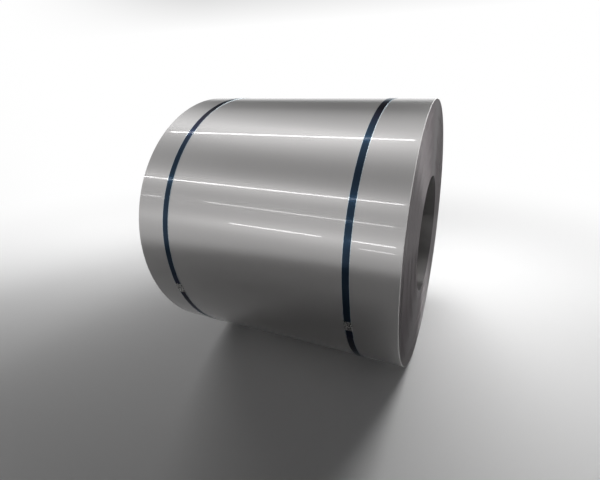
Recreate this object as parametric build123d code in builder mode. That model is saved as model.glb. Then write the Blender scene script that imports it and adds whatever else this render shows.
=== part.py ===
from build123d import *
from math import cos, degrees, pi, radians, sin
import os

# Steel coil: one strip of sheet wound on itself, lying on its side, held by two steel straps.
# Millimetres. +Z is up and +X runs along the coil's axis, towards its right end.
# The origin is on the floor, under the middle of the strip's width.
# Angles go round the axis: 0 is the front (-Y), 90 the top, 180 the back and 270 the floor.

# The wound strip
outer_diameter = 1350.0
eye_diameter = 610.0
strip_width = 1220.0
strip_thickness = 1.0

# The winder lays the turns in bands that wander a little to one side and the other
band_count = 10
side_wander = 1.5
wander_turn = 137.5
band_unevenness = 0.3

# The strip's two ends: the tail outside at the lower back, the nose in the eye
tail_angle = 210.0
nose_angle = 60.0
end_rise_angle = 80.0

# The straps
strap_width = 32.0
strap_thickness = 0.9
left_strap_inset = 159.0
right_strap_inset = 207.0
strap_lap = 150.0
strap_lap_shift = 3.0
strap_ramp = 24.0

# The crimped seals
seal_angle = -14.5
seal_length = 52.0
seal_sheet = 1.2
seal_bend_radius = 1.6
seal_clearance = 0.15
notch_pitch = 20.0
notch_length = 10.0
notch_depth = 5.5
cut_margin = 3.0

# Worked out from the driving sizes
outer_radius = outer_diameter / 2
eye_radius = eye_diameter / 2
axis_height = outer_radius + strap_thickness
coil_axis = Axis((0, 0, axis_height), (1, 0, 0))
wound_turns = (outer_radius - eye_radius) / strip_thickness
strap_places = {
    "left": -strip_width / 2 + left_strap_inset,
    "right": strip_width / 2 - right_strap_inset,
}
lap_radius = outer_radius + strap_thickness
lap_width = strap_width + strap_lap_shift
seal_width = lap_width + 2 * (seal_clearance + seal_sheet)
seal_inner_height = 2 * strap_thickness + seal_clearance
seal_height = seal_inner_height + seal_sheet

os.makedirs("parts", exist_ok=True)


def outward(angle):
    """Direction that points straight out of the coil at an angle round its axis."""
    return Vector(0, -cos(radians(angle)), sin(radians(angle)))


def section_plane(angle):
    """Plane through the coil's axis: x runs along the axis, y straight out at the angle."""
    return Plane(
        origin=(0, 0, axis_height),
        x_dir=(1, 0, 0),
        z_dir=Vector(1, 0, 0).cross(outward(angle)),
    )


def surface_plane(x, angle, radius):
    """Plane square to the outward direction, with x along the axis, at a place on the coil."""
    return Plane(
        origin=Vector(x, 0, axis_height) + outward(angle) * radius,
        x_dir=(1, 0, 0),
        z_dir=outward(angle),
    )


def arc_angle(length, radius):
    """Angle in degrees of an arc of this length."""
    return degrees(length / radius)


def rim_point(radius, angle):
    """Point of the coil's cross-section, seen along the axis."""
    return (-radius * cos(radians(angle)), axis_height + radius * sin(radians(angle)))


def turn_outline(radius, end_angle, rise_angle, step):
    """One turn seen along the axis: round, with a step at the strip's end and a rise beside it."""
    round_angle = end_angle + rise_angle
    ThreePointArc(
        rim_point(radius, end_angle),
        rim_point(radius, end_angle + rise_angle / 2 + 180),
        rim_point(radius, round_angle),
    )
    towards_end = -1 if rise_angle > 0 else 1
    TangentArc(
        rim_point(radius, round_angle),
        rim_point(radius + step, end_angle),
        tangent=(
            towards_end * sin(radians(round_angle)),
            towards_end * cos(radians(round_angle)),
        ),
    )
    Line(rim_point(radius + step, end_angle), rim_point(radius, end_angle))


def band_radius(band):
    """Radius where a band of turns starts, on a whole number of turns."""
    share = (band + band_unevenness * sin(band * pi / 2.5)) / band_count
    return eye_radius + strip_thickness * round(wound_turns * share)


def band_shift(band):
    """How far a band of turns lies towards +X. The strip's width is the same in each band."""
    return side_wander * cos(radians(band * wander_turn))


def turned_profile():
    """Half section of the roll past both walls: a staircase of bands at each end."""
    starts = [eye_radius - cut_margin] + [band_radius(band) for band in range(1, band_count)]
    ends = starts[1:] + [outer_radius + cut_margin]
    right, left = [], []
    for band in range(band_count):
        for radius in (starts[band], ends[band]):
            right.append((strip_width / 2 + band_shift(band), radius))
            left.append((-strip_width / 2 + band_shift(band), radius))
    return right + left[::-1]


# Coil: the section with its tail and nose, run along the axis, then turned to the bands
with BuildPart() as coil:
    with BuildSketch(Plane.YZ):
        with BuildLine():
            turn_outline(outer_radius, tail_angle, -end_rise_angle, -strip_thickness)
        make_face()
        with BuildLine():
            turn_outline(eye_radius, nose_angle, end_rise_angle, strip_thickness)
        make_face(mode=Mode.SUBTRACT)
    extrude(amount=strip_width / 2 + side_wander + cut_margin, both=True)
    with BuildSketch(section_plane(90)):
        with BuildLine():
            Polyline(turned_profile(), close=True)
        make_face()
    revolve(axis=coil_axis, mode=Mode.INTERSECT)
coil.part.label = "coil"
export_step(coil.part, "parts/coil.step")


def crimp_notches():
    """The V notches that the sealing tool cuts into both edges of a seal and its strap."""
    with GridLocations(seal_width, notch_pitch, 2, 2):
        Polygon(
            (-notch_depth, 0),
            (0, -notch_length / 2),
            (notch_depth, 0),
            (0, notch_length / 2),
            align=None,
        )


def ramp_outline(lap_end):
    """The upper layer's slope down onto the band, seen along the axis. Its third point is in the band."""
    Polyline(
        rim_point(lap_radius + strap_thickness, lap_end),
        rim_point(lap_radius, lap_end + arc_angle(strap_ramp, lap_radius)),
        rim_point(lap_radius - strap_thickness / 2, lap_end),
        close=True,
    )


# Straps: a tight band round the coil whose ends lie on each other under the seal
for side, strap_x in strap_places.items():
    lap_angle = arc_angle(strap_lap, lap_radius)
    lap_end = seal_angle + lap_angle / 2
    lap_x = strap_x + strap_lap_shift
    notch_plane = surface_plane(strap_x + strap_lap_shift / 2, seal_angle, outer_radius - cut_margin)
    with BuildPart() as strap:
        with BuildSketch(section_plane(90)):
            with Locations((strap_x, outer_radius + strap_thickness / 2)):
                Rectangle(strap_width, strap_thickness)
        revolve(axis=coil_axis)
        with BuildSketch(section_plane(lap_end)):
            with Locations((lap_x, lap_radius + strap_thickness / 2)):
                Rectangle(strap_width, strap_thickness)
        revolve(axis=coil_axis, revolution_arc=lap_angle)
        with BuildSketch(Plane.YZ.offset(lap_x)):
            with BuildLine():
                ramp_outline(lap_end)
            make_face()
        extrude(amount=strap_width / 2, both=True)
        with BuildSketch(notch_plane):
            crimp_notches()
        extrude(amount=2 * cut_margin + seal_height, mode=Mode.SUBTRACT)
    strap.part.label = f"strap_{side}"
    export_step(strap.part, f"parts/strap_{side}.step")

# Seals: a sheet-metal sleeve folded over both layers of the strap and crimped
for side, strap_x in strap_places.items():
    seal_arc = arc_angle(seal_length, outer_radius)
    seal_x = strap_x + strap_lap_shift / 2
    notch_plane = surface_plane(seal_x, seal_angle, outer_radius - cut_margin)
    with BuildPart() as seal:
        with BuildSketch(section_plane(seal_angle + seal_arc / 2)) as sleeve:
            with Locations((seal_x, outer_radius)):
                Rectangle(seal_width, seal_height, align=(Align.CENTER, Align.MIN))
            fillet(sleeve.vertices().group_by(Axis.Y)[-1], seal_bend_radius)
            with Locations((seal_x, outer_radius)):
                Rectangle(
                    lap_width + 2 * seal_clearance,
                    seal_inner_height,
                    align=(Align.CENTER, Align.MIN),
                    mode=Mode.SUBTRACT,
                )
        revolve(axis=coil_axis, revolution_arc=seal_arc)
        with BuildSketch(notch_plane):
            crimp_notches()
        extrude(amount=2 * cut_margin + seal_height, mode=Mode.SUBTRACT)
    seal.part.label = f"seal_{side}"
    export_step(seal.part, f"parts/seal_{side}.step")
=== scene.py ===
"""A coil of steel strip on its side, with two straps and their crimped seals.

Lengths are in metres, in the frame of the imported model: +Z is up and +X runs along the coil's
axis to its right end. Angles go round that axis in degrees: 0 is the front (-Y), 90 the top,
180 the back and 270 the floor.
"""

import logging
import math
from dataclasses import dataclass
from enum import Enum

import bpy
from mathutils import Matrix, Vector


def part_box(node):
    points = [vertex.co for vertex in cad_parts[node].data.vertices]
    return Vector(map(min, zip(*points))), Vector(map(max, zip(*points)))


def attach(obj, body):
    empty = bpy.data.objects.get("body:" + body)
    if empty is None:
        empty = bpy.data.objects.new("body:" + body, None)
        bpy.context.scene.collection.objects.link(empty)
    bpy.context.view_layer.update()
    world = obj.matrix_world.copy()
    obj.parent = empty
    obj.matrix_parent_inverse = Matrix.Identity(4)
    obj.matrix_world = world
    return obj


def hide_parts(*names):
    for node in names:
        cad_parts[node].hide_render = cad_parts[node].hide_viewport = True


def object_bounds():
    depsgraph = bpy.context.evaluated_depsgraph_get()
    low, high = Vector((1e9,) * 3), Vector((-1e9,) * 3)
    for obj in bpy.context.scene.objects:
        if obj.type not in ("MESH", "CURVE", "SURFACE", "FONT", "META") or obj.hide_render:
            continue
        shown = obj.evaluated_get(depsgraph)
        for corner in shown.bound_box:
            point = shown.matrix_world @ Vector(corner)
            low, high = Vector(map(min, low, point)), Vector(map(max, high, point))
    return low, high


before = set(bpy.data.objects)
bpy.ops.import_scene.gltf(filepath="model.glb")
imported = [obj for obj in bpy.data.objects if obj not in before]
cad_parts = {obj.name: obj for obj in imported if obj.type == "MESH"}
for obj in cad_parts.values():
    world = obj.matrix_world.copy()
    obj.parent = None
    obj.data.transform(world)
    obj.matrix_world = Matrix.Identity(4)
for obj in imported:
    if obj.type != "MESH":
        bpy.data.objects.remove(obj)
CAD_LOW, CAD_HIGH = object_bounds()

log = logging.getLogger("steel_coil")

MM = 0.001
FULL_TURN = 360.0
HALF_TURN = 180.0
RIGHT_ANGLE = 90.0
UV_MAP = "UVMap"

Socket = bpy.types.NodeSocket
Colour = tuple[float, float, float, float]
Place = tuple[float, float, float]
Pair = tuple[float, float]
Inputs = dict[str | int, object]


class Side(Enum):
    """The two straps, by the end of the coil that they are near."""

    LEFT = "left"
    RIGHT = "right"


class Slot(Enum):
    """The record's material slots."""

    SHEET = "sheet_steel"
    STRAP = "strap_steel"
    SEAL = "seal_steel"


class Change(Enum):
    """How a share goes from 0 to 1 between two limits."""

    STRAIGHT = "LINEAR"
    SOFT = "SMOOTHSTEP"


def outward(angle: float) -> Vector:
    """Unit vector straight out of the coil at an angle round its axis."""
    return Vector((0.0, -math.cos(math.radians(angle)), math.sin(math.radians(angle))))


def arc_angle(length: float, radius: float) -> float:
    """Angle in degrees of an arc of this length."""
    return math.degrees(length / radius)


@dataclass(frozen=True)
class Roll:
    """The wound strip's sizes, which every piece shares."""

    radius: float
    axis_height: float
    eye_radius: float = 305 * MM
    strip_width: float = 1220 * MM
    strip_thickness: float = 1 * MM

    @classmethod
    def from_frame(cls) -> "Roll":
        """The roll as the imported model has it."""
        low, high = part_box("coil")
        return cls(radius=(high.z - low.z) / 2, axis_height=(high.z + low.z) / 2)

    def point(self, x: float, angle: float, radius: float) -> Vector:
        """A place by its distance along the axis, its angle and its distance from the axis."""
        return Vector((x, 0.0, self.axis_height)) + outward(angle) * radius


class Number:
    """A number that Geometry Nodes work out for each vertex, written as a formula."""

    def __init__(self, tree: "Tree", socket: Socket) -> None:
        """Holds the tree and the node socket that gives the number."""
        self.tree = tree
        self.socket = socket

    def __add__(self, other: "Number | float") -> "Number":
        """Sum."""
        return self.tree.math("ADD", self, other)

    __radd__ = __add__

    def __mul__(self, other: "Number | float") -> "Number":
        """Product."""
        return self.tree.math("MULTIPLY", self, other)

    __rmul__ = __mul__

    def __sub__(self, other: "Number | float") -> "Number":
        """Difference."""
        return self.tree.math("SUBTRACT", self, other)

    def __rsub__(self, other: "Number | float") -> "Number":
        """Difference, from a plain number."""
        return self.tree.math("SUBTRACT", other, self)

    def __truediv__(self, other: "Number | float") -> "Number":
        """Quotient."""
        return self.tree.math("DIVIDE", self, other)

    def __gt__(self, other: "Number | float") -> "Number":
        """1 where this number is the larger, otherwise 0."""
        return self.tree.math("GREATER_THAN", self, other)

    def __lt__(self, other: "Number | float") -> "Number":
        """1 where this number is the smaller, otherwise 0."""
        return self.tree.math("LESS_THAN", self, other)

    def __abs__(self) -> "Number":
        """Size without its sign."""
        return self.tree.math("ABSOLUTE", self)

    def floor(self) -> "Number":
        """The whole number at or under it."""
        return self.tree.math("FLOOR", self)

    def at_most(self, limit: "Number | float") -> "Number":
        """The smaller of the two."""
        return self.tree.math("MINIMUM", self, limit)

    def at_least(self, limit: "Number | float") -> "Number":
        """The larger of the two."""
        return self.tree.math("MAXIMUM", self, limit)

    def within(self, low: "Number | float", high: "Number | float") -> "Number":
        """Kept between two limits."""
        return self.at_least(low).at_most(high)

    def eased(self) -> "Number":
        """A share from 0 to 1, with a soft start and end."""
        return self * self * (3.0 - self * 2.0)

    def sine(self) -> "Number":
        """Sine of an angle in degrees."""
        return self.tree.math("SINE", self * math.radians(1))

    def cosine(self) -> "Number":
        """Cosine of an angle in degrees."""
        return self.tree.math("COSINE", self * math.radians(1))


class Nodes:
    """A node tree, written node by node. Inputs are given by a node's own names or numbers."""

    def __init__(self, tree: bpy.types.NodeTree) -> None:
        """Holds the tree."""
        self.nodes = tree.nodes
        self.links = tree.links

    def add(self, kind: str, inputs: Inputs | None = None, **options: object) -> bpy.types.Node:
        """Adds a node.

        Args:
            kind: the node's type.
            inputs: what each of its inputs gets.
            options: the node's own settings.

        Returns:
            The new node.
        """
        node = self.nodes.new(kind)
        for option, value in options.items():
            setattr(node, option, value)
        for name, value in (inputs or {}).items():
            self.feed(node.inputs[name], value)
        return node

    def feed(self, socket: Socket, value: object) -> None:
        """Gives a socket its value.

        Args:
            socket: the socket.
            value: a formula's number, another node's socket or a plain value.
        """
        if isinstance(value, Number):
            value = value.socket
        if isinstance(value, Socket):
            self.links.new(value, socket)
        else:
            socket.default_value = value


class Tree(Nodes):
    """A Geometry Nodes tree that bends a sheet of vertices to a rule and makes it a closed mesh."""

    MERGE = 0.02 * MM
    SHARP = math.radians(30)

    def __init__(self, name: str) -> None:
        """Starts an empty tree.

        Args:
            name: what the finished piece is called.
        """
        self.name = name
        self.group = bpy.data.node_groups.new(name, "GeometryNodeTree")
        self.group.interface.new_socket("Geometry", in_out="OUTPUT", socket_type="NodeSocketGeometry")
        super().__init__(self.group)
        self.entry = self.add("NodeGroupInput")
        self.settings: dict[str, float] = {}
        self.mesh: Socket | None = None

    def through(self, kind: str, inputs: Inputs | None = None, **options: object) -> None:
        """Sends the mesh through a new node, whose first input and output are the mesh.

        Args:
            kind: the node's type.
            inputs: what each of its other inputs gets.
            options: the node's own settings.
        """
        node = self.add(kind, inputs, **options)
        self.feed(node.inputs[0], self.mesh)
        self.mesh = node.outputs[0]

    def math(self, operation: str, *terms: "Number | float") -> Number:
        """The result of one sum, product or function."""
        node = self.add("ShaderNodeMath", dict(enumerate(terms)), operation=operation)
        return Number(self, node.outputs[0])

    def size(self, name: str, value: float) -> Number:
        """A named input, whose value the piece's modifier sets.

        Args:
            name: the input's name.
            value: a length in metres, an angle in degrees or, as an int, a count.

        Returns:
            The number to use in formulas.
        """
        kind = "NodeSocketInt" if isinstance(value, int) else "NodeSocketFloat"
        item = self.group.interface.new_socket(name, in_out="INPUT", socket_type=kind)
        self.settings[item.identifier] = value
        return Number(self, self.entry.outputs[name])

    def random(self, reach: float, number: Number, seed: int) -> Number:
        """A random number, always the same one for the same whole number.

        Args:
            reach: how far from 0 it may be, to either side.
            number: the whole number.
            seed: the fixed seed.

        Returns:
            The random number.
        """
        inputs = {"ID": number, "Seed": seed}
        node = self.add("FunctionNodeRandomValue", inputs, data_type="FLOAT")
        floats = [s for s in node.inputs if s.type == "VALUE"]
        self.feed(floats[0], -reach)
        self.feed(floats[1], reach)
        return Number(self, next(s for s in node.outputs if s.type == "VALUE"))

    def sheet(self, rows: Number, columns: Number) -> tuple[Number, Number]:
        """Makes the flat sheet of vertices.

        Args:
            rows: how many vertices there are across the section.
            columns: how many there are along the path.

        Returns:
            Each vertex's row and column.
        """
        grid = self.add("GeometryNodeMeshGrid", {"Vertices X": rows, "Vertices Y": columns})
        self.mesh = grid.outputs["Mesh"]
        counted = {0: self.add("GeometryNodeInputIndex").outputs[0]}
        held = self.add("GeometryNodeFieldOnDomain", counted, domain="POINT", data_type="FLOAT")
        index = Number(self, held.outputs[0])
        row = ((index + 0.5) / columns).floor()
        return row, index - row * columns

    def fold(self, row: Number, steps: Number) -> tuple[Number, Number]:
        """How many steps out a row is when the sheet is folded, and 1 on the way back, else 0."""
        place = row.at_most(steps * 2.0 + 1.0 - row).at_least(0.0)
        return place, (row > steps + 0.5) * (row < steps * 2.0 + 1.5)

    def around(self, place: Number, back: Number, steps: Number) -> Number:
        """How far along the folded section a vertex is, from 0 to 1."""
        return (place + back * (steps * 2.0 - place * 2.0)) / (steps * 2.0)

    def caps(self, column: Number, steps: "Number | float") -> Number:
        """1 in the first and the last column, which close the two ends, otherwise 0."""
        return (column < 0.5) + (column > steps + 1.5)

    def vector(self, *numbers: "Number | float") -> Socket:
        """Three numbers as one vector."""
        return self.add("ShaderNodeCombineXYZ", dict(enumerate(numbers))).outputs[0]

    def map(self, u: Number, v: Number) -> None:
        """Keeps each vertex's place on the unrolled surface as the mesh's UV map.

        Args:
            u: how far along the section it is, from 0 to 1.
            v: how far along the path it is, from 0 to 1.
        """
        inputs = {"Name": UV_MAP, "Value": self.vector(u, v, 0.0)}
        options = {"data_type": "FLOAT2", "domain": "CORNER"}
        self.through("GeometryNodeStoreNamedAttribute", inputs, **options)

    def place(self, x: Number, angle: Number, radius: Number, axis_height: Number) -> None:
        """Moves each vertex to its place round the coil's axis.

        Args:
            x: how far along the axis it is.
            angle: its angle round the axis.
            radius: its distance from the axis.
            axis_height: the axis's height above the floor.
        """
        across = radius * angle.cosine() * -1.0
        up = radius * angle.sine() + axis_height
        self.through("GeometryNodeSetPosition", {"Position": self.vector(x, across, up)})

    def close(self, flip: bool) -> None:
        """Welds the sheet's seams, drops faces without area and marks the sharp edges.

        Args:
            flip: whether the faces have to be turned over to point outward.
        """
        self.through("GeometryNodeMergeByDistance", {"Distance": self.MERGE})
        if flip:
            self.through("GeometryNodeFlipFaces")
        self.through("GeometryNodeSetShadeSmooth", {"Shade Smooth": True}, domain="FACE")
        bend = self.add("GeometryNodeInputMeshEdgeAngle").outputs["Unsigned Angle"]
        corners = {"Selection": Number(self, bend) > self.SHARP, "Shade Smooth": False}
        self.through("GeometryNodeSetShadeSmooth", corners, domain="EDGE")
        self.through("GeometryNodeRealizeInstances")

    def dress(self, finish: bpy.types.Material, only: "Number | None" = None) -> None:
        """Gives a material to all faces, or to those alone for which a number is 1."""
        chosen = {} if only is None else {"Selection": only}
        self.through("GeometryNodeSetMaterial", {"Material": finish, **chosen})

    @staticmethod
    def drop_empty_slots(mesh: bpy.types.Mesh) -> None:
        """Takes out the material slots that hold nothing, and keeps each face's material.

        Args:
            mesh: the mesh.
        """
        finishes = [mesh.materials[p.material_index] for p in mesh.polygons]
        kept = [finish for finish in mesh.materials if finish is not None]
        mesh.materials.clear()
        for finish in kept:
            mesh.materials.append(finish)
        mesh.polygons.foreach_set("material_index", [kept.index(finish) for finish in finishes])

    def piece(self) -> bpy.types.Object:
        """Runs the tree and keeps the result as a plain mesh.

        Returns:
            The finished object, at the origin, with no modifier.
        """
        self.add("NodeGroupOutput", {0: self.mesh})
        maker = bpy.data.objects.new(self.name + "_maker", bpy.data.meshes.new(self.name))
        bpy.context.scene.collection.objects.link(maker)
        modifier = maker.modifiers.new("shape", "NODES")
        modifier.node_group = self.group
        for identifier, value in self.settings.items():
            modifier[identifier] = value
        shaped = maker.evaluated_get(bpy.context.evaluated_depsgraph_get())
        mesh = bpy.data.meshes.new_from_object(shaped)
        self.drop_empty_slots(mesh)
        maker.modifiers.remove(modifier)
        bpy.data.objects.remove(maker)
        made = bpy.data.objects.new(self.name, mesh)
        bpy.context.scene.collection.objects.link(made)
        return made


class Shader(Nodes):
    """A shader's node tree."""

    def math(self, operation: str, *terms: object) -> Socket:
        """The result of one sum, product or function of numbers."""
        return self.add("ShaderNodeMath", dict(enumerate(terms)), operation=operation).outputs[0]

    def share(self, value: Socket, low: float, high: float, change: Change) -> Socket:
        """0 where a number is under the lower limit, 1 over the upper one, a share between them."""
        inputs = {"Value": value, "From Min": low, "From Max": high}
        return self.add("ShaderNodeMapRange", inputs, interpolation_type=change.value).outputs["Result"]

    def blend(self, share: object, first: object, second: object) -> Socket:
        """A number between two, by a share from 0 to 1."""
        inputs = {"Factor": share, "A": first, "B": second}
        return self.add("ShaderNodeMix", inputs, data_type="FLOAT").outputs["Result"]

    def shows(self) -> Socket:
        """Tells rays that show a thing from rays that bring its light only.

        Returns:
            1 for a thing that is seen directly, in gloss or through glass, and 0 for its light.
        """
        rays = self.add("ShaderNodeLightPath").outputs
        mirrored = self.math("MAXIMUM", rays["Is Glossy Ray"], rays["Is Transmission Ray"])
        return self.math("MAXIMUM", rays["Is Camera Ray"], mirrored)


@dataclass(frozen=True)
class Grain:
    """A cloudy pattern's scale each way on the unrolled surface, and its detail."""

    scale_u: float
    scale_v: float
    detail: float


@dataclass(frozen=True)
class Relief:
    """How deep fine relief is and how strongly it turns the normals."""

    depth: float
    strength: float


class Surface(Shader):
    """A procedural material. Its patterns keep to a middle range, which spread() stretches."""

    MIDDLE_LOW = 0.3
    MIDDLE_HIGH = 0.7

    def __init__(self, name: str) -> None:
        """Starts a material with a Principled surface.

        Args:
            name: the material's name.
        """
        self.material = bpy.data.materials.new(name)
        self.material.use_nodes = True
        super().__init__(self.material.node_tree)
        self.skin = next(n for n in self.nodes if n.type == "BSDF_PRINCIPLED")
        self.output = next(n for n in self.nodes if n.type == "OUTPUT_MATERIAL")

    def set(self, **values: object) -> None:
        """Sets constants on the surface's own sockets, named with underscores for spaces."""
        for name, value in values.items():
            self.skin.inputs[name.replace("_", " ")].default_value = value

    def paint(self, colour: Socket) -> None:
        """Lets the colour follow a pattern."""
        self.feed(self.skin.inputs["Base Color"], colour)

    def roughen(self, pattern: Socket, limits: Pair) -> None:
        """Lets the roughness follow a pattern, between two limits."""
        self.feed(self.skin.inputs["Roughness"], self.spread(pattern, *limits))

    def unrolled(self) -> Socket:
        """Places on the unrolled surface, from 0 to 1 each way."""
        return self.add("ShaderNodeUVMap", uv_map=UV_MAP).outputs[0]

    def along_section(self) -> Socket:
        """How far along the section a place is, from 0 to 1."""
        return self.add("ShaderNodeSeparateXYZ", {"Vector": self.unrolled()}).outputs["X"]

    def noise(self, at: Socket, scale: float, detail: float) -> Socket:
        """A cloudy pattern from 0 to 1."""
        inputs = {"Vector": at, "Scale": scale, "Detail": detail}
        return self.add("ShaderNodeTexNoise", inputs).outputs["Fac"]

    def pattern(self, grain: Grain) -> Socket:
        """A cloudy pattern from 0 to 1 that follows the unrolled surface.

        Args:
            grain: how fine it is.

        Returns:
            The pattern.
        """
        inputs = {"Vector": self.unrolled(), "Scale": (grain.scale_u, grain.scale_v, 1.0)}
        stretched = self.add("ShaderNodeMapping", inputs).outputs[0]
        return self.noise(stretched, 1.0, grain.detail)

    def spread(self, value: Socket, low: float, high: float) -> Socket:
        """Stretches a pattern's middle range between two values.

        Args:
            value: the pattern.
            low: what the range's lower end becomes.
            high: what its upper end becomes.

        Returns:
            The stretched pattern.
        """
        middle = {"From Min": self.MIDDLE_LOW, "From Max": self.MIDDLE_HIGH}
        inputs = {"Value": value, **middle, "To Min": low, "To Max": high}
        return self.add("ShaderNodeMapRange", inputs).outputs["Result"]

    def mixed(self, share: Socket, first: object, second: object) -> Socket:
        """Mixes two colours.

        Args:
            share: how much of the second colour there is, from 0 to 1.
            first: the first colour.
            second: the second colour.

        Returns:
            The mixed colour.
        """
        node = self.add("ShaderNodeMix", {"Factor": share}, data_type="RGBA")
        colours = [s for s in node.inputs if s.type == "RGBA"]
        self.feed(colours[0], first)
        self.feed(colours[1], second)
        return next(s for s in node.outputs if s.type == "RGBA")

    def carve(self, height: Socket, relief: Relief) -> None:
        """Adds fine relief to the surface's normals, over any that is there.

        Args:
            height: the pattern whose values are the relief's heights.
            relief: how much of it shows.
        """
        inputs = {"Height": height, "Distance": relief.depth, "Strength": relief.strength}
        bump = self.add("ShaderNodeBump", inputs)
        normal = self.skin.inputs["Normal"]
        if normal.is_linked:
            self.feed(bump.inputs["Normal"], normal.links[0].from_socket)
        self.feed(normal, bump.outputs[0])

    def grain_along_map(self) -> None:
        """Stretches highlights along the map's U: along the axis on the walls, radially on the ends."""
        node = self.add("ShaderNodeTangent", direction_type="UV_MAP", uv_map=UV_MAP)
        self.feed(self.skin.inputs["Tangent"], node.outputs[0])


@dataclass(frozen=True)
class RolledSteel:
    """The strip's bright cold-rolled face, with its fine rolling lines and a film of oil.

    In the map's U the eye's wall starts at eye_start, where painted shade makes the steel darker.
    """

    light: Colour = (0.467, 0.457, 0.455, 1.0)
    dark: Colour = (0.417, 0.408, 0.406, 1.0)
    # Painted shade: the eye's wall gets this darker colour as shade inside the eye.
    rub_and_eye_shade: Colour = (0.17, 0.165, 0.163, 1.0)
    eye_start: float = 0.5
    least_light: float = 0.25
    roughness: Pair = (0.35, 0.39)
    anisotropy: float = 0.8
    oil: float = 1.0
    oil_roughness: float = 0.04
    oil_ior: float = 1.65
    rolling_lines: Grain = Grain(900.0, 5.0, 3.0)
    clouds: Grain = Grain(14.0, 9.0, 4.0)
    waves: Grain = Grain(11.0, 16.0, 2.0)
    line_relief: Relief = Relief(0.01 * MM, 0.35)
    wave_relief: Relief = Relief(0.5 * MM, 0.25)

    def material(self) -> bpy.types.Material:
        """Makes the material.

        Returns:
            The material.
        """
        face = Surface("rolled_steel")
        face.set(Metallic=1.0, Anisotropic=self.anisotropy)
        face.set(Coat_Weight=self.oil, Coat_Roughness=self.oil_roughness, Coat_IOR=self.oil_ior)
        lines, clouds = face.pattern(self.rolling_lines), face.pattern(self.clouds)
        tone = face.math("MULTIPLY_ADD", lines, clouds, self.least_light)
        steel = face.mixed(tone, self.dark, self.light)
        # The eye's wall is painted darker here, as painted shade inside the eye.
        in_eye = face.math("GREATER_THAN", face.along_section(), self.eye_start)
        face.paint(face.mixed(in_eye, steel, self.rub_and_eye_shade))
        face.roughen(lines, self.roughness)
        face.carve(lines, self.line_relief)
        face.carve(face.pattern(self.waves), self.wave_relief)
        face.grain_along_map()
        return face.material


@dataclass(frozen=True)
class BurredRim:
    """The rolled-over burr along both rims, dry and dull from handling."""

    light: Colour = (0.60, 0.60, 0.59, 1.0)
    dark: Colour = (0.46, 0.455, 0.45, 1.0)
    roughness: Pair = (0.70, 0.80)
    nicks: Grain = Grain(3.0, 900.0, 3.0)
    nick_relief: Relief = Relief(0.05 * MM, 0.3)

    def material(self) -> bpy.types.Material:
        """Makes the material.

        Returns:
            The material.
        """
        burr = Surface("burred_rim")
        burr.set(Metallic=1.0)
        nicks = burr.pattern(self.nicks)
        burr.paint(burr.mixed(burr.spread(nicks, 0.0, 1.0), self.dark, self.light))
        burr.roughen(nicks, self.roughness)
        burr.carve(nicks, self.nick_relief)
        return burr.material


@dataclass(frozen=True)
class ShearedEdge:
    """The slit edges of the turns, side by side on the ends of the coil."""

    light: Colour = (0.27, 0.257, 0.261, 1.0)
    dark: Colour = (0.16, 0.151, 0.155, 1.0)
    glancing: Colour = (0.26, 0.25, 0.254, 1.0)
    ring_tone: Pair = (-0.9, 0.1)
    band_share: float = 0.6
    grit_share: float = 0.5
    roughness: Pair = (0.30, 0.40)
    anisotropy: float = 0.9
    turns: Grain = Grain(1500.0, 3.0, 2.0)
    bands: Grain = Grain(130.0, 1.5, 2.0)
    grit: Grain = Grain(1300.0, 900.0, 2.0)
    turn_relief: Relief = Relief(0.08 * MM, 0.5)
    grit_relief: Relief = Relief(0.05 * MM, 0.4)

    def material(self) -> bpy.types.Material:
        """Makes the material.

        Returns:
            The material.
        """
        edge = Surface("sheared_edges")
        edge.set(Metallic=1.0, Anisotropic=self.anisotropy, Specular_Tint=self.glancing)
        turns, grit = edge.pattern(self.turns), edge.pattern(self.grit)
        rings = edge.math("MULTIPLY_ADD", edge.pattern(self.bands), self.band_share, turns)
        tone = edge.math("MULTIPLY_ADD", grit, self.grit_share, edge.spread(rings, *self.ring_tone))
        edge.paint(edge.mixed(tone, self.dark, self.light))
        edge.roughen(grit, self.roughness)
        edge.carve(turns, self.turn_relief)
        edge.carve(grit, self.grit_relief)
        edge.grain_along_map()
        return edge.material


@dataclass(frozen=True)
class StrapLacquer:
    """Blue-black lacquer on the straps, worn to steel along their slit edges.

    In the map's U the middle of the outer face is at face_middle. The wear starts and is full at
    the two distances from it in worn_at, and scuffs move them by up to raggedness.
    """

    colour: Colour = (0.005, 0.017, 0.037, 1.0)
    faded: Colour = (0.010, 0.034, 0.066, 1.0)
    bare: Colour = (0.62, 0.70, 0.74, 1.0)
    glancing: Colour = (0.20, 0.28, 0.36, 1.0)
    face_middle: float = 0.25
    worn_at: Pair = (0.178, 0.189)
    raggedness: float = 0.02
    roughness: Pair = (0.14, 0.21)
    gloss: float = 0.4
    gloss_roughness: float = 0.09
    scuffs: Grain = Grain(30.0, 900.0, 4.0)
    brush_lines: Grain = Grain(220.0, 25.0, 3.0)
    scuff_relief: Relief = Relief(0.05 * MM, 0.3)

    def material(self) -> bpy.types.Material:
        """Makes the material.

        Returns:
            The material.
        """
        coat = Surface("strap_lacquer")
        coat.set(Metallic=1.0, Specular_Tint=self.glancing)
        coat.set(Coat_Weight=self.gloss, Coat_Roughness=self.gloss_roughness)
        scuffs, lines = coat.pattern(self.scuffs), coat.pattern(self.brush_lines)
        paint = coat.mixed(coat.spread(lines, 0.0, 1.0), self.colour, self.faded)
        middle = coat.math("SUBTRACT", coat.along_section(), self.face_middle)
        ragged = coat.math("MULTIPLY_ADD", scuffs, self.raggedness, coat.math("ABSOLUTE", middle))
        worn = coat.share(ragged, *self.worn_at, Change.STRAIGHT)
        coat.paint(coat.mixed(worn, paint, self.bare))
        coat.roughen(lines, self.roughness)
        coat.carve(scuffs, self.scuff_relief)
        return coat.material


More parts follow.
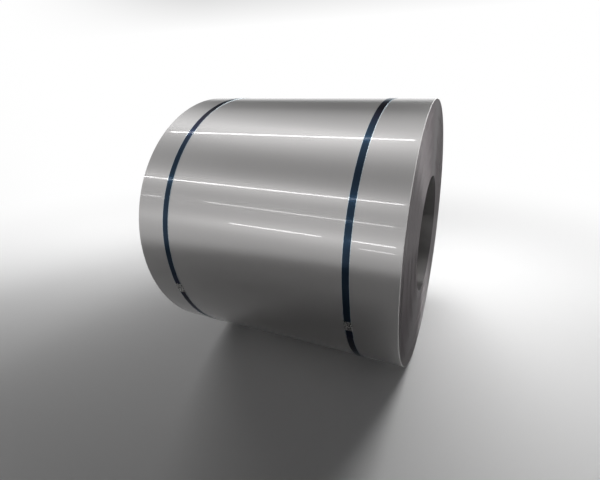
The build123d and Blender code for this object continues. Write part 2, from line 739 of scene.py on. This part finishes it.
@dataclass(frozen=True)
class ZincSeal:
    """The galvanised sheet of the seals: zinc spangle, unevenly worn and dirty in patches."""

    light: Colour = (0.80, 0.80, 0.78, 1.0)
    dark: Colour = (0.30, 0.30, 0.29, 1.0)
    dirt: Colour = (0.02, 0.019, 0.018, 1.0)
    dirt_share: Pair = (-0.5, 1.3)
    metallic: float = 0.9
    roughness: Pair = (0.24, 0.44)
    spangle_scale: float = 260.0
    rub_scale: float = 320.0
    rub_detail: float = 3.0
    dirt_scale: float = 170.0
    dirt_detail: float = 2.0
    rub_relief: Relief = Relief(0.3 * MM, 0.7)

    def material(self) -> bpy.types.Material:
        """Makes the material.

        Returns:
            The material.
        """
        zinc = Surface("zinc_seal")
        zinc.set(Metallic=self.metallic)
        place = zinc.add("ShaderNodeTexCoord").outputs["Object"]
        spangle = zinc.add("ShaderNodeTexVoronoi", {"Vector": place, "Scale": self.spangle_scale})
        grey = zinc.add("ShaderNodeSeparateColor", {"Color": spangle.outputs["Color"]})
        metal = zinc.mixed(grey.outputs[0], self.dark, self.light)
        rub_and_eye_shade = zinc.noise(place, self.rub_scale, self.rub_detail)
        grime = zinc.spread(zinc.noise(place, self.dirt_scale, self.dirt_detail), *self.dirt_share)
        zinc.paint(zinc.mixed(grime, metal, self.dirt))
        zinc.roughen(rub_and_eye_shade, self.roughness)
        zinc.carve(rub_and_eye_shade, self.rub_relief)
        return zinc.material


@dataclass(frozen=True)
class WoundCoil:
    """The strip wound on itself: two plain walls and two ends made of many turns.

    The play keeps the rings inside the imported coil. A face belongs to the bevel or to an end
    when more of its normal than bevel_facing or end_facing runs along the axis.
    """

    roll: Roll
    rings: int = 100
    segments: int = 216
    bevel: float = 2.0 * MM
    tail_angle: float = 210.0
    nose_angle: float = 60.0
    end_rise: float = 80.0
    bands: int = 10
    band_unevenness: float = 0.3
    bands_per_wave: float = 5.0
    side_wander: float = 1.5 * MM
    wander_turn: float = 137.5
    ring_unevenness: float = 0.35
    ring_jitter: float = 0.10 * MM
    ring_lean: float = 0.04 * MM
    play: float = 0.01 * MM
    bevel_facing: float = 0.3
    end_facing: float = 0.9
    seed: int = 7

    def band_radius(self, band: int) -> float:
        """Finds where a band of turns starts, on a whole number of turns.

        Args:
            band: the band's number, counted from the eye.

        Returns:
            Its distance from the axis.
        """
        turns = round((self.roll.radius - self.roll.eye_radius) / self.roll.strip_thickness)
        wave = math.sin(math.radians(band * FULL_TURN / self.bands_per_wave))
        share = (band + self.band_unevenness * wave) / self.bands
        return self.roll.eye_radius + self.roll.strip_thickness * round(turns * share)

    def band_shift(self, band: int) -> float:
        """How far a band of turns lies towards +X."""
        return self.side_wander * math.cos(math.radians(band * self.wander_turn))

    def wander(self, tree: Tree, radius: Number) -> Number:
        """How far the turns at a radius lie towards +X, changing gently from band to band.

        Args:
            tree: the tree that the formula is in.
            radius: the distance from the axis.

        Returns:
            The shift along the axis.
        """
        starts = [self.band_radius(band) for band in range(self.bands + 1)]
        middles = [(low + high) / 2 for low, high in zip(starts, starts[1:])]
        total = tree.math("ADD", 0.0, self.band_shift(0))
        for band in range(1, self.bands):
            low, high = middles[band - 1], middles[band]
            passed = ((radius - low) / (high - low)).within(0.0, 1.0).eased()
            total = total + passed * (self.band_shift(band) - self.band_shift(band - 1))
        return total

    def shape(self, tree: Tree) -> None:
        """Bends a sheet to the coil.

        The rows go out over the right end's rings and come back over the left end's. The last
        row lies on the first one, so that the eye's wall closes the section. The columns go round
        the coil, with one more at the nose and one at the tail, where the strip's ends are steps.

        Args:
            tree: the tree that makes the sheet.
        """
        rings = tree.size("Rings", self.rings)
        segments = tree.size("Segments", self.segments)
        outer = tree.size("Outer radius", self.roll.radius)
        eye = tree.size("Eye radius", self.roll.eye_radius)
        width = tree.size("Strip width", self.roll.strip_width)
        bevel = tree.size("Rim bevel", self.bevel)
        step = tree.size("Strip thickness", self.roll.strip_thickness)
        tail = tree.size("Tail angle", self.tail_angle)
        nose = tree.size("Nose angle", self.nose_angle + FULL_TURN)
        rise = tree.size("End rise", self.end_rise)
        axis_height = tree.size("Axis height", self.roll.axis_height)

        steps = rings * 2.0
        row, column = tree.sheet(steps * 2.0 + 3.0, segments + 3.0)
        place, left = tree.fold(row, steps)
        closing = row > steps * 2.0 + 1.5
        side = 1.0 - left * 2.0
        wall = place > steps - 0.5
        rim = place > steps - 1.5
        ring = (place * 0.5).floor().at_most(rings - 1.0)
        edge = ring + (place - (place * 0.5).floor() * 2.0)

        nose_column = ((nose - tail) / FULL_TURN * segments + 0.5).floor()
        past_nose = column > nose_column + 0.5
        last = column > segments + 1.5
        turned = column - past_nose - last
        angle = tail + turned / segments * FULL_TURN
        tail_rise = ((angle - tail - FULL_TURN + rise) / rise).within(0.0, 1.0) * (1.0 - last)
        nose_rise = ((nose + rise - angle) / rise).within(0.0, 1.0) * past_nose

        build = outer - eye
        at_eye = edge < 0.5
        uneven = tree.random(self.ring_unevenness, edge, self.seed) * (1.0 - at_eye)
        ring_radius = eye + build * (edge + uneven) / rings + step * nose_rise * nose_rise * at_eye
        rim_radius = outer - step * tail_rise * tail_rise - bevel * (1.0 - wall)
        radius = ring_radius * (1.0 - rim) + rim_radius * rim

        wander = self.wander(tree, eye + build * (ring + 0.5) / rings)
        jitter = tree.random(self.ring_jitter, ring, self.seed + 1)
        lean = tree.random(self.ring_lean, ring, self.seed + 2) * (edge - ring - 0.5)
        x = side * (width * 0.5 - bevel * wall) + wander + jitter + lean * side
        x = x.within(CAD_LOW.x + self.play, CAD_HIGH.x - self.play)

        share = (edge / rings) * (1.0 - wall) + wall
        way_back = build * 2.0 + width - build * share
        along = build * share * (1.0 - left - closing) + left * way_back
        along = along + closing * (build + width) * 2.0
        tree.map(along / ((build + width) * 2.0), turned / segments)
        tree.place(x, angle, radius, axis_height)

    def build(
        self,
        face: bpy.types.Material,
        edges: bpy.types.Material,
        burr: bpy.types.Material,
    ) -> bpy.types.Object:
        """Makes the coil.

        Args:
            face: the finish of the strip's face, on both walls.
            edges: the finish of the strip's edges, on both ends.
            burr: the finish of the bevel between the outer wall and each end.

        Returns:
            The finished piece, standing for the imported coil.
        """
        tree = Tree("wound_coil")
        self.shape(tree)
        tree.close(flip=True)
        tree.dress(face)
        normal = {0: tree.add("GeometryNodeInputNormal").outputs[0]}
        endways = abs(Number(tree, tree.add("ShaderNodeSeparateXYZ", normal).outputs[0]))
        tree.dress(burr, only=endways > self.bevel_facing)
        tree.dress(edges, only=endways > self.end_facing)
        coil = tree.piece()
        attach(coil, "root")
        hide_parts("coil")
        return coil


@dataclass(frozen=True)
class Joint:
    """Where a strap is closed: the lap of its ends and the seal over it, as both pieces need it."""

    centre_x: float
    angle: float = -14.5
    strap_width: float = 32 * MM
    strap_thickness: float = 0.9 * MM
    lap: float = 150 * MM
    lap_shift: float = 3 * MM
    ramp: float = 24 * MM
    seal_length: float = 52 * MM
    seal_sheet: float = 1.2 * MM
    seal_bend: float = 1.6 * MM
    clearance: float = 0.15 * MM
    notch_pitch: float = 20 * MM
    notch_length: float = 10 * MM
    notch_depth: float = 5.5 * MM

    @classmethod
    def from_frame(cls, side: Side) -> "Joint":
        """The joint of the strap on one side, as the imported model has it."""
        low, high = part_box(f"strap_{side.value}")
        return cls(centre_x=(low.x + high.x) / 2)

    @property
    def seal_half_width(self) -> float:
        """From the seal's middle to its outer wall."""
        return (self.strap_width + self.lap_shift) / 2 + self.clearance + self.seal_sheet

    @property
    def seal_height(self) -> float:
        """From the coil to the top of the seal."""
        return 2 * self.strap_thickness + self.clearance + self.seal_sheet

    def notch(self, tree: Tree, arc: Number) -> Number:
        """How deep the crimp notches are at a distance along the strap from the seal's middle.

        Args:
            tree: the tree that the formula is in.
            arc: the distance along the strap.

        Returns:
            The depth, which is 0 beside the notches.
        """
        pitch = tree.size("Notch pitch", self.notch_pitch)
        length = tree.size("Notch length", self.notch_length)
        depth = tree.size("Notch depth", self.notch_depth)
        off = abs(abs(arc) - pitch * 0.5)
        return (1.0 - off / (length * 0.5)).at_least(0.0) * depth


@dataclass(frozen=True)
class Strap:
    """A flat steel strap, tight round the coil, whose outer end lies on its inner end.

    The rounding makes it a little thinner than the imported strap, so that it stays inside it. The
    cap inset narrows the ends' closing columns, so that no face there is without area.
    """

    roll: Roll
    joint: Joint
    side: Side
    across: int = 8
    lap_steps: int = 72
    coarse_steps: int = 300
    edge: float = 0.2 * MM
    edge_thinning: float = 0.5
    drift: float = 18.0
    end_lift: float = 0.5 * MM
    rounding: float = 0.04 * MM
    cap_inset: float = 0.02

    def shape(self, tree: Tree) -> None:
        """Bends a sheet to the strap.

        The rows go out over the outer face and come back under it. The columns go from the inner
        end down over the lap, round the coil, up the ramp and over the lap again. The first and
        the last column close the ends.

        Args:
            tree: the tree that makes the sheet.
        """
        joint = self.joint
        base = tree.size("Coil radius", self.roll.radius)
        thick = tree.size("Strap thickness", joint.strap_thickness - self.rounding)
        width = tree.size("Strap width", joint.strap_width)
        shift = tree.size("Lap shift", joint.lap_shift)
        axis_height = tree.size("Axis height", self.roll.axis_height)
        steps = tree.size("Points across", self.across)

        lap_radius = self.roll.radius + joint.strap_thickness
        lap_angle = arc_angle(joint.lap, lap_radius)
        ramp_angle = arc_angle(joint.ramp, lap_radius)
        start = joint.angle + lap_angle / 2
        foot = start + ramp_angle - FULL_TURN
        lap_step = lap_angle / self.lap_steps
        coarse_step = (FULL_TURN - lap_angle - ramp_angle) / self.coarse_steps
        last_steps = round((lap_angle + ramp_angle) / lap_step)
        last_step = (lap_angle + ramp_angle) / last_steps
        path_steps = float(self.lap_steps + self.coarse_steps + last_steps)

        row, column = tree.sheet(steps * 2.0 + 3.0, tree.size("Path points", int(path_steps) + 3))
        cap = tree.caps(column, path_steps)
        walked = (column - 1.0).within(0.0, path_steps)
        first = walked.at_most(float(self.lap_steps))
        coarse = (walked - float(self.lap_steps)).within(0.0, float(self.coarse_steps))
        final = (walked - float(self.lap_steps + self.coarse_steps)).at_least(0.0)
        angle = start - first * lap_step - coarse * coarse_step - final * last_step

        place, inner = tree.fold(row, steps)
        at_edge = (place < 0.5) + (place > steps - 0.5)
        flat = (place.within(1.0, steps - 1.0) - steps * 0.5) / (steps * 0.5 - 1.0)
        edge_side = (place > steps - 0.5) - (place < 0.5)
        u = (flat * (width * 0.5 - self.edge) + edge_side * self.edge) * (1.0 - cap * self.cap_inset)
        half = thick * 0.5 * (1.0 - at_edge * self.edge_thinning) * (1.0 - cap)

        climb = ((foot - angle) / ramp_angle).within(0.0, 1.0).eased()
        drifted = ((foot + self.drift - angle) / self.drift).within(0.0, 1.0).eased()
        end_angle = joint.angle - lap_angle / 2 - FULL_TURN
        lifted = (1.0 - (angle - end_angle) / ramp_angle).within(0.0, 1.0)
        centre = base + thick * (climb + 0.5) + lifted * lifted * self.end_lift
        radius = centre + half * (1.0 - inner * 2.0)

        from_seal = angle + (angle < -HALF_TURN) * FULL_TURN - joint.angle
        notch = joint.notch(tree, from_seal * (math.radians(1) * lap_radius))
        room = joint.seal_half_width - joint.seal_sheet - joint.clearance - notch
        offset = (u + shift * drifted - joint.lap_shift / 2).within(room * -1.0, room)
        tree.map(tree.around(place, inner, steps), walked / path_steps)
        tree.place(offset + joint.centre_x, angle, radius, axis_height)

    def build(self, lacquer: bpy.types.Material) -> bpy.types.Object:
        """Makes the strap.

        Args:
            lacquer: the strap's finish.

        Returns:
            The finished piece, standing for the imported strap.
        """
        tree = Tree(f"strap_{self.side.value}_lacquered")
        self.shape(tree)
        tree.close(flip=True)
        tree.dress(lacquer)
        strap = tree.piece()
        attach(strap, "root")
        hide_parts(f"strap_{self.side.value}")
        return strap


@dataclass(frozen=True)
class Seal:
    """A sheet-metal sleeve, folded over both ends of a strap and notched with them.

    The lip that the crimping raises starts on the flat top, at lip_start of its half width. The
    cap inset narrows the ends' closing columns, so that no face there is without area.
    """

    roll: Roll
    joint: Joint
    side: Side
    across: int = 56
    along: int = 78
    lip: float = 0.45 * MM
    lip_start: float = 0.55
    cap_inset: float = 0.02

    def shape(self, tree: Tree) -> None:
        """Bends a sheet to the seal.

        The rows go over the sleeve's outside from one foot to the other and come back on its
        inside. The columns go along the strap, and the first and the last one close the ends.

        Args:
            tree: the tree that makes the sheet.
        """
        joint = self.joint
        base = tree.size("Coil radius", self.roll.radius)
        length = tree.size("Seal length", joint.seal_length)
        sheet = tree.size("Seal sheet", joint.seal_sheet)
        bend = tree.size("Middle radius of the bend", joint.seal_bend - joint.seal_sheet / 2)
        flat = tree.size("Half of the flat top", joint.seal_half_width - joint.seal_bend)
        top = tree.size("Height of the middle of the top", joint.seal_height - joint.seal_sheet / 2)
        axis_height = tree.size("Axis height", self.roll.axis_height)
        across = tree.size("Points across", self.across)
        along = tree.size("Points along", self.along)

        row, column = tree.sheet(across * 2.0 + 3.0, along + 3.0)
        cap = tree.caps(column, along)
        arc = ((column - 1.0).within(0.0, along) / along - 0.5) * length
        place, inner = tree.fold(row, across)

        quarter = bend * (math.pi / 2)
        half_path = flat + quarter + top - bend
        walked = (place / across * 2.0 - 1.0) * half_path * (1.0 - cap * self.cap_inset)
        away = abs(walked)
        hand = (walked > 0.0) * 2.0 - 1.0
        turn = ((away - flat) / bend * math.degrees(1)).within(0.0, RIGHT_ANGLE)
        x = away.at_most(flat) + bend * turn.sine()
        height = top - bend * (1.0 - turn.cosine()) - (away - flat - quarter).at_least(0.0)
        offset = sheet * 0.5 * (1.0 - inner * 2.0) * (1.0 - cap)
        x = (x + offset * turn.sine()) * hand
        height = height + offset * turn.cosine()

        notch = joint.notch(tree, arc)
        squeeze = 1.0 - notch / joint.seal_half_width
        rub_and_eye_shade = notch / joint.notch_depth
        near_side = (away - flat * self.lip_start) / (flat * (1.0 - self.lip_start))
        lip = near_side.within(0.0, 1.0) * (1.0 - turn / RIGHT_ANGLE)
        height = height + rub_and_eye_shade * lip * self.lip
        angle = joint.angle + arc / self.roll.radius * math.degrees(1)
        tree.map(tree.around(place, inner, across), arc / length + 0.5)
        tree.place(x * squeeze + joint.centre_x, angle, base + height, axis_height)

    def build(self, zinc: bpy.types.Material) -> bpy.types.Object:
        """Makes the seal.

        Args:
            zinc: the seal's finish.

        Returns:
            The finished piece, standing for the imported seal.
        """
        tree = Tree(f"seal_{self.side.value}_crimped")
        self.shape(tree)
        tree.close(flip=False)
        tree.dress(zinc)
        seal = tree.piece()
        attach(seal, "root")
        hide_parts(f"seal_{self.side.value}")
        return seal


@dataclass(frozen=True)
class PhotoCamera:
    """The camera, where the photograph's was."""

    place: Place = (0.78935, -1.65193, 1.35090)
    yaw: float = -19.30
    pitch: float = -20.79
    focal_pixels: float = 327.87
    centre_pixels: Pair = (356.22, 222.57)
    image: Pair = (600.0, 480.0)
    sensor: float = 36.0

    def build(self) -> bpy.types.Object:
        """Makes the camera and makes it the scene's.

        Returns:
            The camera.
        """
        wide, high = self.image
        data = bpy.data.cameras.new("photo_camera")
        data.sensor_width = self.sensor
        data.lens = self.focal_pixels / wide * self.sensor
        data.shift_x = (wide / 2 - self.centre_pixels[0]) / wide
        data.shift_y = (self.centre_pixels[1] - high / 2) / wide
        yaw, pitch = math.radians(self.yaw), math.radians(self.pitch)
        level = math.cos(pitch)
        forward = Vector((math.sin(yaw) * level, math.cos(yaw) * level, math.sin(pitch)))
        camera = bpy.data.objects.new("photo_camera", data)
        camera.location = self.place
        camera.rotation_euler = forward.to_track_quat("-Z", "Y").to_euler()
        bpy.context.scene.collection.objects.link(camera)
        bpy.context.scene.camera = camera
        return camera


def hidden_lamp(name: str, size: Pair, brightness: float) -> bpy.types.Object:
    """Makes a rectangular lamp that the camera doesn't see.

    Args:
        name: the lamp's name.
        size: its two sides.
        brightness: how bright its face is, where 1 is white.

    Returns:
        The lamp, at the origin.
    """
    data = bpy.data.lights.new(name, "AREA")
    data.shape = "RECTANGLE"
    data.size, data.size_y = size
    data.energy = brightness * data.size * data.size_y * math.pi
    lamp = bpy.data.objects.new(name, data)
    lamp.visible_camera = False
    bpy.context.scene.collection.objects.link(lamp)
    return lamp


@dataclass(frozen=True)
class StripLamp:
    """A long thin lamp, placed by where the two ends of its reflection show on the coil.

    The start and the end of the reflection are given by their X and their angle on the coil.
    """

    name: str
    start: Pair
    end: Pair
    brightness: float
    depth: float = 30 * MM
    distance: float = 2.5

    def mirrored(self, roll: Roll, eye: Vector, spot: Pair) -> Vector:
        """Finds where a thing is that the eye sees mirrored at a spot on the coil.

        Args:
            roll: the coil.
            eye: the camera's place.
            spot: the spot's X and angle.

        Returns:
            The place, at the lamp's distance from the coil.
        """
        x, angle = spot
        point, out = roll.point(x, angle, roll.radius), outward(angle)
        seen = point - eye
        bounced = seen - 2 * seen.dot(out) * out
        return point + bounced * (self.distance / math.hypot(seen.y, seen.z))

    def build(self, roll: Roll, eye: Vector) -> bpy.types.Object:
        """Makes the lamp, which shows in gloss only.

        Args:
            roll: the coil that mirrors it.
            eye: the camera's place.

        Returns:
            The lamp.
        """
        start, end = self.mirrored(roll, eye, self.start), self.mirrored(roll, eye, self.end)
        middle, along = (start + end) / 2, (end - start).normalized()
        back = middle - roll.point(middle.x, 0.0, 0.0)
        back = (back - back.dot(along) * along).normalized()
        lamp = hidden_lamp(self.name, ((end - start).length, self.depth), self.brightness)
        aim = Matrix((along, back.cross(along), back)).transposed()
        lamp.matrix_world = Matrix.Translation(middle) @ aim.to_4x4()
        lamp.visible_diffuse = False
        return lamp


@dataclass(frozen=True)
class SoftLamp:
    """A large soft lamp. It either lights the floor or shows in the steel, never both."""

    name: str
    place: Place
    aim: Place
    brightness: float
    size: Pair = (2.0, 1.4)
    shows_in_steel: bool = False

    def build(self) -> bpy.types.Object:
        """Makes the lamp.

        Returns:
            The lamp.
        """
        lamp = hidden_lamp(self.name, self.size, self.brightness)
        lamp.location = self.place
        way = Vector(self.aim) - Vector(self.place)
        lamp.rotation_euler = way.to_track_quat("-Z", "Y").to_euler()
        lamp.visible_glossy = self.shows_in_steel
        lamp.visible_diffuse = not self.shows_in_steel
        return lamp


@dataclass(frozen=True)
class Studio:
    """A pale floor under a soft sky, with long lamps that the coil mirrors as lines.

    Levels are brightnesses, where 1 is white. In sky_levels each one stands beside its angle, from
    the horizon in front over the coil to back_start, where the back's horizon begins. The sky
    changes to the horizon's level where a direction's X is between the two numbers of sides.
    """

    roll: Roll
    floor_size: float = 60.0
    floor_colour: Colour = (0.78, 0.78, 0.78, 1.0)
    floor_roughness: float = 0.9
    fade_centre: Place = (0.0, -1.1, 0.0)
    fade_from: float = 2.2
    fade_to: float = 5.5
    even_light: float = 0.05
    front_level: float = 0.68
    back_level: float = 1.0
    front_to_back: Pair = (-0.5, 0.5)
    sides: Pair = (0.62, 0.88)
    back_start: float = 168.0
    sky_levels: tuple[Pair, ...] = (
        (7.0, 1.05),
        (16.0, 0.78),
        (27.0, 0.60),
        (40.0, 0.77),
        (60.0, 0.42),
        (70.0, 0.46),
        (88.0, 0.99),
        (104.0, 1.10),
        (125.0, 0.56),
        (138.0, 0.16),
        (153.0, 0.16),
    )
    strip_lamps: tuple[StripLamp, ...] = (
        StripLamp("overhead_lamp", (-0.57, 51.1), (0.585, 51.85), brightness=16.0, depth=40 * MM),
        StripLamp("front_high_lamp", (-0.62, 30.4), (0.59, 29.6), brightness=12.0, depth=36 * MM),
        StripLamp("front_middle_lamp", (-0.24, 23.45), (0.567, 22.8), brightness=6.0),
        StripLamp("front_left_lamp", (-0.594, 23.3), (-0.49, 23.3), brightness=5.0),
        StripLamp("front_low_lamp", (-0.11, 17.1), (0.30, 17.0), brightness=12.0),
        StripLamp("front_right_lamp", (0.42, 17.0), (0.58, 16.9), brightness=13.0),
        StripLamp("front_right_thin_lamp", (0.452, 15.0), (0.58, 14.9), brightness=6.0),
    )
    soft_lamps: tuple[SoftLamp, ...] = (
        SoftLamp("back_right_lamp", (0.85, 1.3, 2.3), aim=(1.4, 0.0, 0.0), brightness=9.0),
        SoftLamp("back_left_lamp", (-2.9, 0.9, 1.7), aim=(-2.8, 0.2, 0.0), brightness=4.5),
        SoftLamp(
            "end_lamp",
            (3.0, 2.4, 2.9),
            aim=(0.61, 0.0, 0.675),
            brightness=5.0,
            size=(4.2, 2.4),
            shows_in_steel=True,
        ),
    )

    def horizon(self, shader: Shader, y: Socket) -> Socket:
        """How bright the horizon is in a direction, by that direction's Y."""
        share = shader.share(y, *self.front_to_back, Change.SOFT)
        return shader.blend(share, self.front_level, self.back_level)

    def floor(self) -> bpy.types.Object:
        """Makes the plain floor.

        Returns:
            The floor.
        """
        half = self.floor_size / 2
        mesh = bpy.data.meshes.new("studio_floor")
        corners = [(-half, -half, 0.0), (half, -half, 0.0), (half, half, 0.0), (-half, half, 0.0)]
        mesh.from_pydata(corners, [], [(0, 1, 2, 3)])
        mesh.materials.append(self.floor_paint())
        floor = bpy.data.objects.new("studio_floor", mesh)
        bpy.context.scene.collection.objects.link(floor)
        return floor

    def floor_paint(self) -> bpy.types.Material:
        """Makes the floor's material, which fades into the horizon far from the coil.

        Returns:
            The material.
        """
        paint = Surface("floor_paint")
        paint.set(Base_Color=self.floor_colour, Roughness=self.floor_roughness)
        place = paint.add("ShaderNodeTexCoord").outputs["Object"]
        ends = {0: place, 1: self.fade_centre}
        way = paint.add("ShaderNodeVectorMath", ends, operation="SUBTRACT").outputs[0]
        away = paint.add("ShaderNodeVectorMath", {0: way}, operation="LENGTH").outputs["Value"]
        y = paint.add("ShaderNodeSeparateXYZ", {"Vector": way}).outputs["Y"]
        level = self.horizon(paint, paint.math("DIVIDE", y, away))
        haze = paint.add("ShaderNodeEmission", {"Strength": level})
        nearness = paint.math("DIVIDE", 1.0, away)
        near = paint.share(nearness, 1 / self.fade_to, 1 / self.fade_from, Change.SOFT)
        share = paint.math("MULTIPLY", paint.math("SUBTRACT", 1.0, near), paint.shows())
        both = {0: share, 1: paint.skin.outputs[0], 2: haze.outputs[0]}
        paint.feed(paint.output.inputs["Surface"], paint.add("ShaderNodeMixShader", both).outputs[0])
        return paint.material

    def over_coil(self, shader: Shader, share: Socket) -> Socket:
        """Makes the sky's bands, from the horizon in front to the one at the back.

        Args:
            shader: the sky's shader.
            share: how far over the coil a direction is, as a share of half a turn.

        Returns:
            The sky's brightness.
        """
        ramp = shader.add("ShaderNodeValToRGB", {"Fac": share})
        elements = ramp.color_ramp.elements
        while len(elements) > 1:
            elements.remove(elements[-1])
        stops = ((0.0, self.front_level), *self.sky_levels, (self.back_start, self.back_level))
        for number, (degrees, level) in enumerate(stops):
            stop = elements[0] if number == 0 else elements.new(degrees / HALF_TURN)
            stop.position = degrees / HALF_TURN
            stop.color = (level, level, level, 1.0)
        return ramp.outputs[0]

    def sky(self) -> None:
        """Makes the sky that shows, and the small even light that it gives."""
        world = bpy.data.worlds.new("studio_sky")
        world.use_nodes = True
        shader = Shader(world.node_tree)
        way = shader.add("ShaderNodeTexCoord").outputs["Generated"]
        x, y, z = shader.add("ShaderNodeSeparateXYZ", {"Vector": way}).outputs
        angle = shader.math("ARCTAN2", shader.math("ABSOLUTE", z), shader.math("MULTIPLY", y, -1.0))
        bands = self.over_coil(shader, shader.math("DIVIDE", angle, math.pi))
        to_side = shader.share(shader.math("ABSOLUTE", x), *self.sides, Change.SOFT)
        seen = shader.blend(to_side, bands, self.horizon(shader, y))
        background = next(n for n in shader.nodes if n.type == "BACKGROUND")
        background.inputs["Color"].default_value = (1.0, 1.0, 1.0, 1.0)
        level = shader.blend(shader.shows(), self.even_light, seen)
        shader.feed(background.inputs["Strength"], level)
        bpy.context.scene.world = world

    def lamps(self, eye: Vector) -> list[bpy.types.Object]:
        """Makes the lamps, for a camera at the eye's place."""
        lines = [lamp.build(self.roll, eye) for lamp in self.strip_lamps]
        return lines + [lamp.build() for lamp in self.soft_lamps]


def report(piece: bpy.types.Object) -> None:
    """Logs how many triangles a piece has, and its size.

    Args:
        piece: the finished piece.
    """
    triangles = sum(len(p.vertices) - 2 for p in piece.data.polygons)
    sizes = " x ".join(f"{s / MM:.1f}" for s in piece.dimensions)
    log.info("%s: %d triangles, %s mm", piece.name, triangles, sizes)


def main() -> None:
    """Builds the coil, its straps and seals, and the studio round them."""
    logging.basicConfig(level=logging.INFO, format="%(name)s: %(message)s")
    bpy.context.scene.view_settings.view_transform = "Standard"
    roll = Roll.from_frame()
    face = RolledSteel().material()
    edges = ShearedEdge().material()
    burr = BurredRim().material()
    lacquer = StrapLacquer().material()
    zinc = ZincSeal().material()
    report(WoundCoil(roll).build(face, edges, burr))
    for side in Side:
        joint = Joint.from_frame(side)
        report(Strap(roll, joint, side).build(lacquer))
        report(Seal(roll, joint, side).build(zinc))
    camera = PhotoCamera().build()
    studio = Studio(roll)
    studio.floor()
    studio.sky()
    studio.lamps(camera.location.copy())


if __name__ == "__main__":
    main()
